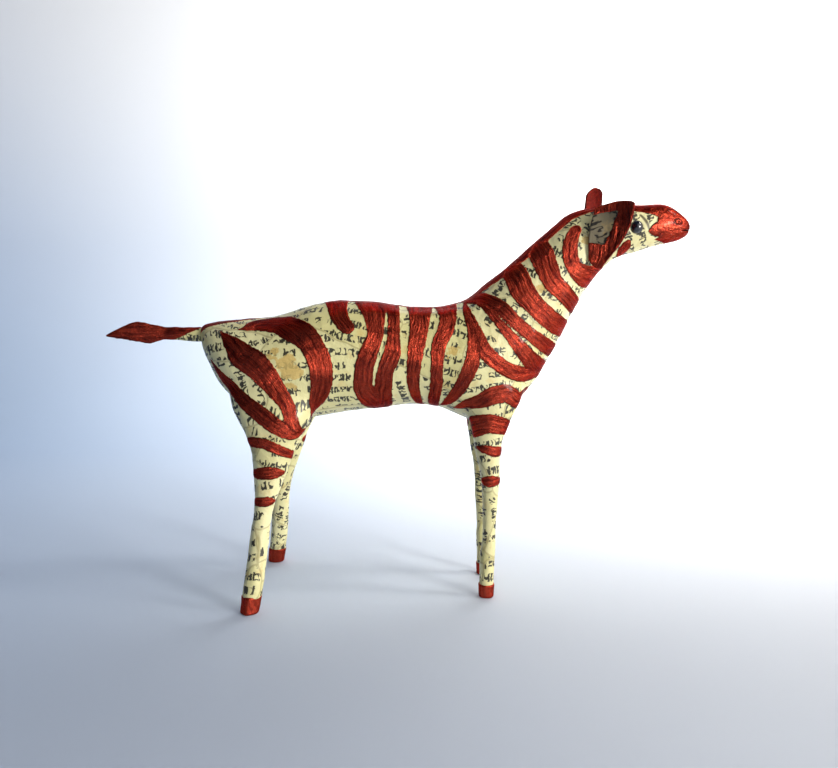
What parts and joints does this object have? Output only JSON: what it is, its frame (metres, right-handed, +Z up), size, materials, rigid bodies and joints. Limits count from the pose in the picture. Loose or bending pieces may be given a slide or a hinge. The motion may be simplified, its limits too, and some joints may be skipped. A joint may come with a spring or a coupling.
{
  "type": "papier-mache zebra figure",
  "caption": "Standing papier-mache zebra figure with printed-paper skin, metallic red painted stripes, curled paper ears, a flat paddle tail and small painted hooves.",
  "frame": {"origin": "on the ground, under the middle of the bounding box", "axes": "+X to the muzzle, +Y to the animal's left side, +Z up"},
  "size_m": [0.1743, 0.0491, 0.1225],
  "materials": {
    "printed_paper": "pasted book paper under glossy varnish",
    "red_paint": "paper painted metallic copper red, glossy",
    "core_paper": "crumpled newspaper, matte",
    "paper_tape": "masking tape, matte",
    "steel_wire": "galvanised wire",
    "eye_bead": "polished black bead"
  },
  "bodies": {
    "root": {"spine_wire": "steel_wire", "leg_wire_front_right": "steel_wire", "leg_wire_front_left": "steel_wire", "leg_wire_rear_right": "steel_wire", "leg_wire_rear_left": "steel_wire", "shoulder_binding": "paper_tape", "hip_binding": "paper_tape", "torso_core": "core_paper", "neck_core": "core_paper", "head_core": "core_paper", "torso_skin": "printed_paper", "neck_skin": "printed_paper", "head_skin": "printed_paper", "leg_front_right": "printed_paper", "leg_front_left": "printed_paper", "leg_rear_right": "printed_paper", "leg_rear_left": "printed_paper", "hoof_front_right": "red_paint", "hoof_front_left": "red_paint", "hoof_rear_right": "red_paint", "hoof_rear_left": "red_paint", "ear_right": "red_paint", "ear_left": "red_paint", "tail": "red_paint", "eye_right": "eye_bead", "eye_left": "eye_bead"}
  },
  "joints": []
}
